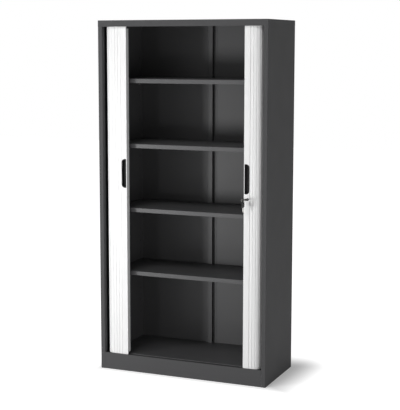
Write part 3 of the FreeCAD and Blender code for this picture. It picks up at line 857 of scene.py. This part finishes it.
@dataclass(frozen=True)
class KeyForm:
    """One key: a moulded head with a long eye across its far end, and a cut blade.

    The collar, the blade's edge, its groove and its cuts are shares of a width or thickness, and
    the dip's start and run are in edge radii.
    """

    width: float = 0.028
    length: float = 0.032
    thickness: float = 0.006
    far_round: float = 0.009
    root_round: float = 0.0045
    eye_half: float = 0.0064
    eye_radius: float = 0.004
    eye_inset: float = 0.0036
    edge: float = 0.0013
    dip: float = 0.0007
    dip_start: float = 1.6
    dip_run: float = 1.4
    beyond: float = 0.1
    collar_power: float = 3.5
    collar_width: float = 0.78
    collar_height: float = 0.4
    collar_steps: Tuple[Pair, ...] = ((-0.004, 1.0), (0.0, 1.0), (0.0008, 0.98),
                                      (0.0016, 0.9), (0.002, 0.78))
    blade: float = 0.0262
    blade_width: float = 0.007
    blade_thickness: float = 0.002
    blade_tip: float = 0.0022
    sunk: float = 0.003
    edge_share: float = 0.06
    edge_flat: float = 0.16
    groove_depth: float = 0.34
    groove_place: float = 0.38
    groove_width: float = 0.09
    first_cut: float = 0.0095
    cut_pitch: float = 0.0024
    cut_crest: float = 0.0003
    cut_run: float = 0.55
    cut_shares: Tuple[float, ...] = (0.14, 0.22, 0.1, 0.18, 0.22, 0.12)

    def in_head(self, x: np.ndarray, y: np.ndarray) -> np.ndarray:
        """Whether points lie in the head's plan, a rectangle rounded at its corners.

        Args:
            x: across the head.
            y: along it, 0 at its root and negative away from the blade.

        Returns:
            One truth per point.
        """
        r = np.where(y < -self.length / 2, self.far_round, self.root_round)
        qx = np.abs(x) - (self.width / 2 - r)
        qy = np.abs(y + self.length / 2) - (self.length / 2 - r)
        outside = np.hypot(np.maximum(qx, 0), np.maximum(qy, 0))
        return outside + np.minimum(np.maximum(qx, qy), 0) < r

    def in_eye(self, x: np.ndarray, y: np.ndarray) -> np.ndarray:
        """Whether points lie in the eye, nearer than its radius to the line between its ends.

        Args:
            x: across the head.
            y: along it, as for the head.

        Returns:
            One truth per point.
        """
        along = np.maximum(np.abs(x) - self.eye_half, 0)
        return np.hypot(along, y - self.eye_y()) < self.eye_radius

    def eye_y(self) -> float:
        """The eye's place along the head."""
        return -self.length + self.eye_inset + self.eye_radius

    def head(self, rows: int = 120, run: int = 14) -> Grid:
        """The head as rings from the eye's centre outwards.

        Seen from that centre the eye's edge lies at e(v) and the head's at s(v). The section
        between them has quarter circles of the edge radius at its four corners, straight sides,
        and faces at the height t / 2 - d S, where the smooth step S goes from 0 to 1 as the
        nearer edge gets further off.

        Args:
            rows: points round the head.
            run: points across a face.

        Returns:
            The grid, closed both ways.
        """
        v = ring(rows)
        centre = (0.0, self.eye_y())
        inner = reach(self.in_eye, centre, v, self.beyond)
        outer = reach(self.in_head, centre, v, self.beyond)
        q = quarter(5)
        e, h = self.edge, self.thickness / 2
        wide = (outer - inner)[:, None]
        share = np.linspace(0, 1, run)[None, 1:-1]
        face = e + (wide - 2 * e) * share
        nearer = np.minimum(face, wide - face)
        step = np.clip((nearer - self.dip_start * e) / (self.dip_run * e), 0, 1)
        level = h - self.dip * step * step * (3 - 2 * step)
        ones = np.ones((rows, 1))
        rise = (e - e * np.cos(q))[None]
        climb = (h - e + e * np.sin(q))[None]
        top = np.concatenate([ones * rise, face, (wide - rise)[:, ::-1]], 1)
        height = np.concatenate([ones * climb, level, (ones * climb)[:, ::-1]], 1)
        far = inner[:, None] + np.concatenate([top, top[:, ::-1]], 1)
        x = centre[0] + far * np.cos(v)[:, None]
        y = centre[1] + far * np.sin(v)[:, None]
        return np.stack([x, y, np.concatenate([height, -height[:, ::-1]], 1)], -1)

    def collar(self, columns: int = 28) -> Grid:
        """Moulded neck round the blade's root: rounded rectangles that shrink along +Y.

        Args:
            columns: points round the neck.

        Returns:
            The grid, closed along its columns.
        """
        fx, fz = superellipse(ring(columns), self.collar_power)
        stations = np.array(self.collar_steps)
        y, size = np.repeat(stations[:, :1], columns, 1), stations[:, 1:]
        return np.stack([self.blade_width * self.collar_width * size * fx, y,
                         self.thickness * self.collar_height * size * fz], -1)

    def shank(self, rows: int = 210, across: int = 15) -> Grid:
        """The blade along +Y, from just inside the head to its tip.

        At the share s of the width the half thickness is
        t / 2 (1 - g exp(-((s - p) / w)^2)) (f + (1 - f) a (2 - a))^(1/2). A milled groove of the
        depth g runs at p on the upper face and at 1 - p on the lower one, and a goes from 0 at
        either edge to 1 further in, which rounds the edges. One edge is drawn in by the deepest
        of the cuts' trapezoids at y, and both come in at 45 degrees over the tip.

        Args:
            rows: points along the blade.
            across: points across a face.

        Returns:
            The grid, closed along its columns.
        """
        length = self.blade + self.sunk
        y = np.linspace(0, length, rows)
        depth = np.zeros(rows)
        for k, share in enumerate(self.cut_shares):
            deep = share * self.blade_width
            start = self.sunk + self.first_cut + k * self.cut_pitch
            end = start + self.cut_pitch - self.cut_crest
            slope = np.minimum(y - start, end - y) / (deep * self.cut_run)
            depth = np.maximum(depth, deep * np.clip(slope, 0, 1))
        half = self.blade_width / 2 - np.maximum(y - (length - self.blade_tip), 0)
        part = np.linspace(0, 1, across)
        part = np.concatenate([part, part[::-1]])
        side = np.repeat([1.0, -1.0], across)
        place = np.where(side > 0, self.groove_place, 1 - self.groove_place)
        groove = np.exp(-((part - place) / self.groove_width) ** 2)
        ends = np.clip(np.minimum(part, 1 - part) / self.edge_share, 0, 1)
        rounding = np.sqrt(ends * (2 - ends) * (1 - self.edge_flat) + self.edge_flat)
        thick = self.blade_thickness / 2 * (1 - self.groove_depth * groove) * rounding
        low, high = -half, half - depth
        grid = np.empty((rows, 2 * across, 3))
        grid[..., 0] = low[:, None] + (high - low)[:, None] * part[None]
        grid[..., 1] = y[:, None] - self.sunk
        grid[..., 2] = (thick * side)[None]
        return grid


@dataclass
class LockAndKeys:
    """Turned lock face, keys with moulded heads and their split ring.

    The dish's steps are radii past the bore and depths, the lip's are distances short of the
    rosette's rounded edge and depths.
    """

    nodes: Dict[str, bpy.types.Object]
    rosette: float = 0.0085
    rosette_depth: float = 0.003
    rosette_edge: float = 0.0011
    barrel: float = 0.0065
    barrel_edge: float = 0.0005
    bore: float = 0.0049
    dish: Tuple[Pair, ...] = ((0.0, 0.0006), (0.0004, 0.0002), (0.0012, 0.0002),
                              (0.0016, 0.0006))
    lip: Tuple[Pair, ...] = ((0.0008, 0.0003), (0.0003, 0.0))
    wire: float = 0.00042
    ring_turns: float = 1.96
    ring_ends: float = 2.2
    form: KeyForm = KeyForm()
    axis: Pair = field(init=False)
    chrome: PlatedMetal = field(init=False)
    steel: PlatedMetal = PlatedMetal("zinc_plated_steel", (0.55, 0.55, 0.55), roughness=0.32)
    nickel: PlatedMetal = PlatedMetal("nickel_key_blades", (0.72, 0.71, 0.68), roughness=0.24,
                                      marks=Turning.ALONG_Z)
    head: MouldedPlastic = MouldedPlastic("black_key_heads", (0.012, 0.012, 0.012),
                                          grain_bend=0.2)

    def __post_init__(self) -> None:
        """Finds the lock's axis."""
        low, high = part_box("lock_core")
        self.axis = ((low.x + high.x) / 2, (low.z + high.z) / 2)
        self.chrome = PlatedMetal("turned_lock_chrome", (0.7, 0.7, 0.7), roughness=0.2,
                                  marks=Turning.ROUND_Y, axis=self.axis)

    def barrel_profile(self) -> np.ndarray:
        """Closed section of the rosette and barrel, as rows of (radius, y from the front)."""
        low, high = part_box("lock_barrel")
        length = high.y - low.y
        r, d, edge = self.rosette, self.rosette_depth, self.rosette_edge
        section = [(self.bore + out, y) for out, y in self.dish]
        section += [(r - edge - short, y) for short, y in self.lip]
        section += [(r - edge + edge * math.sin(t), edge - edge * math.cos(t))
                    for t in quarter(7)]
        section += [(r, d), (self.barrel, d), (self.barrel, length - self.barrel_edge),
                    (self.barrel - self.barrel_edge, length), (self.bore, length)]
        return np.array(section)

    def ring_of(self) -> Grid:
        """Two-turn split ring inside the plain ring's box."""
        low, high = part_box("key_ring")
        centre = [(a + b) / 2 for a, b in zip(low, high)]
        depth = high.y - low.y
        return hoop(centre, (high.x - low.x) / 2 - depth / 2, self.wire, self.ring_turns,
                    depth - self.ring_ends * self.wire)

    def placed(self, grid: Grid, node: str) -> Grid:
        """A key's grid, moved from its own axes to that key's place.

        Args:
            grid: points with the head's root at the origin and the blade along +Y.
            node: key, which lies level, or spare_key, which hangs edge-on with its blade down.

        Returns:
            The moved grid.
        """
        low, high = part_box(node)
        x, y, z = grid[..., 0], grid[..., 1], grid[..., 2]
        if node == "key":
            root = ((low.x + high.x) / 2, high.y - self.form.blade, (low.z + high.z) / 2)
            return np.stack([x, y, z], -1) + np.array(root)
        root = ((low.x + high.x) / 2, (low.y + high.y) / 2, low.z + self.form.blade)
        return np.stack([-z, x, -y], -1) + np.array(root)

    def make_key(self, node: str, body: str, head: bpy.types.Material,
                 metal: bpy.types.Material) -> None:
        """Makes one key's head and blade in place of its plain solid.

        Args:
            node: key or spare_key.
            body: what it rides on.
            head: the head's finish.
            metal: the blade's finish.
        """
        collar, grip, shank = (self.placed(grid, node) for grid in
                               (self.form.collar(), self.form.head(), self.form.shank()))
        handle = mesh_of(node + "_head", [collar], [grip])
        blade = mesh_of(node + "_blade", [shank])
        for piece, finish, slot in ((handle, head, "black_plastic"), (blade, metal, "key_metal")):
            dress(piece, finish)
            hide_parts(node)
            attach(piece, body)
        LOG.info("%s moulded and cut", node)

    def build(self) -> None:
        """Makes the turned and moulded pieces and dresses the lock's solids."""
        chrome, nickel, head = self.chrome.made(), self.nickel.made(), self.head.made()
        low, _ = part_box("lock_barrel")
        turned = lathe(self.barrel_profile(), (self.axis[0], low.y, self.axis[1]))
        barrel = mesh_of("lock_barrel_turned", rings=[turned])
        split = mesh_of("key_ring_split", [self.ring_of()])
        made = ((barrel, chrome, "lock_barrel", "right_door", "chrome"),
                (split, nickel, "key_ring", "ring", "steel"))
        for piece, finish, node, body, slot in made:
            dress(piece, finish)
            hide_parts(node)
            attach(piece, body)
            LOG.info("%s made", piece.name)
        self.make_key("key", "lock", head, nickel)
        self.make_key("spare_key", "spare", head, nickel)
        dress_all(self.nodes, ("lock_core",), chrome)
        dress_all(self.nodes, ("lock_nut", "lock_cam", "lock_strike"), self.steel.made())


@dataclass
class Rivets:
    """Domed rivet heads down both flanges of the spine."""

    rows: int = 3
    radius: float = 0.0035
    height: float = 0.0016
    rim: float = 0.25
    crown: float = 0.05

    def build(self, material: bpy.types.Material) -> None:
        """Makes all heads as one piece in place of the plain ones.

        A head is a shallow dome on a short rim: at the radius r its height is
        h (s + (1 - s) (1 - (r / R)^2)^(1/2)), where s is the rim's share.

        Args:
            material: the back's finish.
        """
        low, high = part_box("back_rivets")
        q = quarter(8)[:-1]
        r = np.concatenate([[1.0], np.cos(q), [self.crown]]) * self.radius
        h = np.concatenate([[0.0], self.rim + (1 - self.rim) * np.sin(q), [1.0]]) * self.height
        dome = np.stack([r, high.y - low.y - h], -1)
        heads = []
        for x in (low.x + self.radius, high.x - self.radius):
            for z in np.linspace(low.z + self.radius, high.z - self.radius, self.rows):
                heads.append(lathe(dome, (x, low.y, z), columns=24))
        piece = mesh_of("back_rivet_heads", heads)
        dress(piece, material)
        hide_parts("back_rivets")
        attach(piece, "cabinet")
        LOG.info("rivets domed")


# Stage

@dataclass(frozen=True)
class Lamp:
    """A soft rectangular lamp: its watts, width and height, place and the point it faces."""

    name: str
    power: float
    size: Pair
    place: Triple
    aim: Triple

    def hang(self) -> None:
        """Adds the lamp."""
        light = bpy.data.lights.new(self.name, "AREA")
        light.shape = "RECTANGLE"
        light.size, light.size_y = self.size
        light.energy = self.power
        holder = bpy.data.objects.new(self.name, light)
        spot = Vector(self.place)
        turn = (Vector(self.aim) - spot).to_track_quat("-Z", "Y")
        holder.matrix_world = Matrix.Translation(spot) @ turn.to_matrix().to_4x4()
        bpy.context.scene.collection.objects.link(holder)


LAMPS = (
    Lamp("key", 81.0, (0.55, 0.8), (-2.35, -2.75, 0.7), (0.0, 0.2, 0.85)),
    Lamp("frontal", 5.0, (0.22, 0.22), (-0.29, -3.1, 0.62), (-0.29, 0.2, 1.0)),
    Lamp("side_fill", 44.0, (1.8, 2.0), (3.5, -2.6, 0.5), (0.2, 0.1, 0.65)),
    Lamp("top_soft", 50.0, (1.6, 1.2), (-0.5, -2.3, 4.3), (0.0, 0.1, 1.0)),
)


@dataclass(frozen=True)
class Floor:
    """White floor with painted shade: its glow is dimmed beside the cabinet at the right and the
    rear, where the real shadow then shows, and is full white away from it, in front and at the
    left.

    The blends are where the white in front of the cabinet and at its left begins and is full,
    in metres out from its front and its left side.
    """

    half: float = 14.0
    greys: Tuple[Colour, Colour] = ((0.78, 0.78, 0.78), (0.8, 0.8, 0.8))
    grit_scale: float = 40.0
    grit_share: float = 0.1
    cabinet_half: float = 0.5
    cabinet_middle: float = 0.225
    shadow_reach: float = 0.27
    painted_shade_glow: float = 0.25
    front_blend: Pair = (-0.05, 0.12)
    left_blend: Pair = (-0.05, 0.1)

    def glow(self, paint: Paint) -> Socket:
        """How white the floor shows itself to the camera, glossy and clear rays.

        Args:
            paint: writes the material.

        Returns:
            The share, from 0 to 1: least beside the cabinet at the right and the rear, which paints
                shade there, and full away from it, in front and at the left, which paints those
                parts white.
        """
        x, y, _ = paint.axes()
        aside = (abs(x) - self.cabinet_half).highest(0.0)
        along = (abs(y - self.cabinet_middle) - self.cabinet_middle).highest(0.0)
        away = (aside * aside + along * along) ** 0.5
        front = (-y).ramp(*self.front_blend)
        left = (-x - self.cabinet_half).ramp(*self.left_blend)
        # Painted shade: the glow is least at the cabinet's right and rear and full in front and at
        # its left, whatever the lamps do there.
        unshaded_share = away.ramp(0.0, self.shadow_reach).highest(front.highest(left))
        return paint.shown() * (unshaded_share * (1 - self.painted_shade_glow) + self.painted_shade_glow)

    def build(self) -> None:
        """Lays the floor."""
        h = self.half
        mesh = bpy.data.meshes.new("floor")
        mesh.from_pydata([(-h, -h, 0), (h, -h, 0), (h, h, 0), (-h, h, 0)], [], [(0, 1, 2, 3)])
        piece = bpy.data.objects.new("floor", mesh)
        bpy.context.scene.collection.objects.link(piece)
        paint = Paint(bpy.data.materials.new("white_floor"))
        grey = paint.blend(paint.noise(self.grit_scale) * self.grit_share, *self.greys)
        matt = paint.node("ShaderNodeBsdfDiffuse", values={"Color": grey})
        white = paint.blend(self.glow(paint), (0.0, 0.0, 0.0), (1.0, 1.0, 1.0))
        lit = paint.node("ShaderNodeEmission", values={"Color": white})
        paint.end("ShaderNodeOutputMaterial", paint.node("ShaderNodeAddShader", values=[matt, lit]))
        dress(piece, paint.owner)


@dataclass
class Studio:
    """Lamps, sky, floor and camera of the photograph.

    The yaw and pitch are in degrees, the focal length and the picture's middle and size in
    pixels, the sensor's width in millimetres.
    """

    eye: Triple = (2.4731, -5.6365, 1.842)
    yaw: float = 23.207
    pitch: float = -7.515
    focal_pixels: float = 1133.2
    middle: Pair = (190.0, 195.0)
    frame: Pair = (400.0, 410.0)
    sensor: float = 36.0
    far: float = 200.0
    dim_sky: float = 0.16

    def camera(self) -> None:
        """Places the camera.

        It looks along (-sin a cos b, cos a cos b, sin b), with (cos a, sin a, 0) to its right,
        at the yaw a and the pitch b.
        """
        lens = bpy.data.cameras.new("camera")
        longest = max(self.frame)
        lens.sensor_width = self.sensor
        lens.lens = self.focal_pixels / longest * lens.sensor_width
        lens.shift_x = (self.frame[0] / 2 - self.middle[0]) / longest
        lens.shift_y = -(self.frame[1] / 2 - self.middle[1]) / longest
        lens.clip_end = self.far
        camera = bpy.data.objects.new("camera", lens)
        a, b = math.radians(self.yaw), math.radians(self.pitch)
        right = Vector((math.cos(a), math.sin(a), 0.0))
        ahead = Vector((-math.sin(a) * math.cos(b), math.cos(a) * math.cos(b), math.sin(b)))
        turn = Matrix((right, right.cross(ahead), -ahead)).transposed()
        camera.matrix_world = Matrix.Translation(self.eye) @ turn.to_4x4()
        bpy.context.scene.collection.objects.link(camera)
        bpy.context.scene.camera = camera

    def sky(self) -> None:
        """White for the camera, glossy and clear rays, and a dim grey light on the object."""
        world = bpy.data.worlds.new("studio")
        bpy.context.scene.world = world
        paint = Paint(world)
        dim, white = (paint.node("ShaderNodeBackground",
                                 values={"Color": (1.0, 1.0, 1.0), "Strength": strength})
                      for strength in (self.dim_sky, 1.0))
        mix = paint.node("ShaderNodeMixShader", values=[paint.shown(), dim, white])
        paint.end("ShaderNodeOutputWorld", mix)

    def build(self) -> None:
        """Sets the whole stage."""
        self.camera()
        for lamp in LAMPS:
            lamp.hang()
        self.sky()
        Floor().build()
        bpy.context.scene.view_settings.view_transform = "Standard"


def main() -> None:
    """Loads the solids, dresses them, adds the finer pieces and sets the stage."""
    logging.basicConfig(level=logging.INFO, format="%(message)s")
    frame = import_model()
    nodes = frame["nodes"]
    Carcass(nodes).build()
    Curtains(nodes).build()
    LockAndKeys(nodes).build()
    Studio().build()
    bpy.context.view_layer.update()


if __name__ == "__main__":
    main()
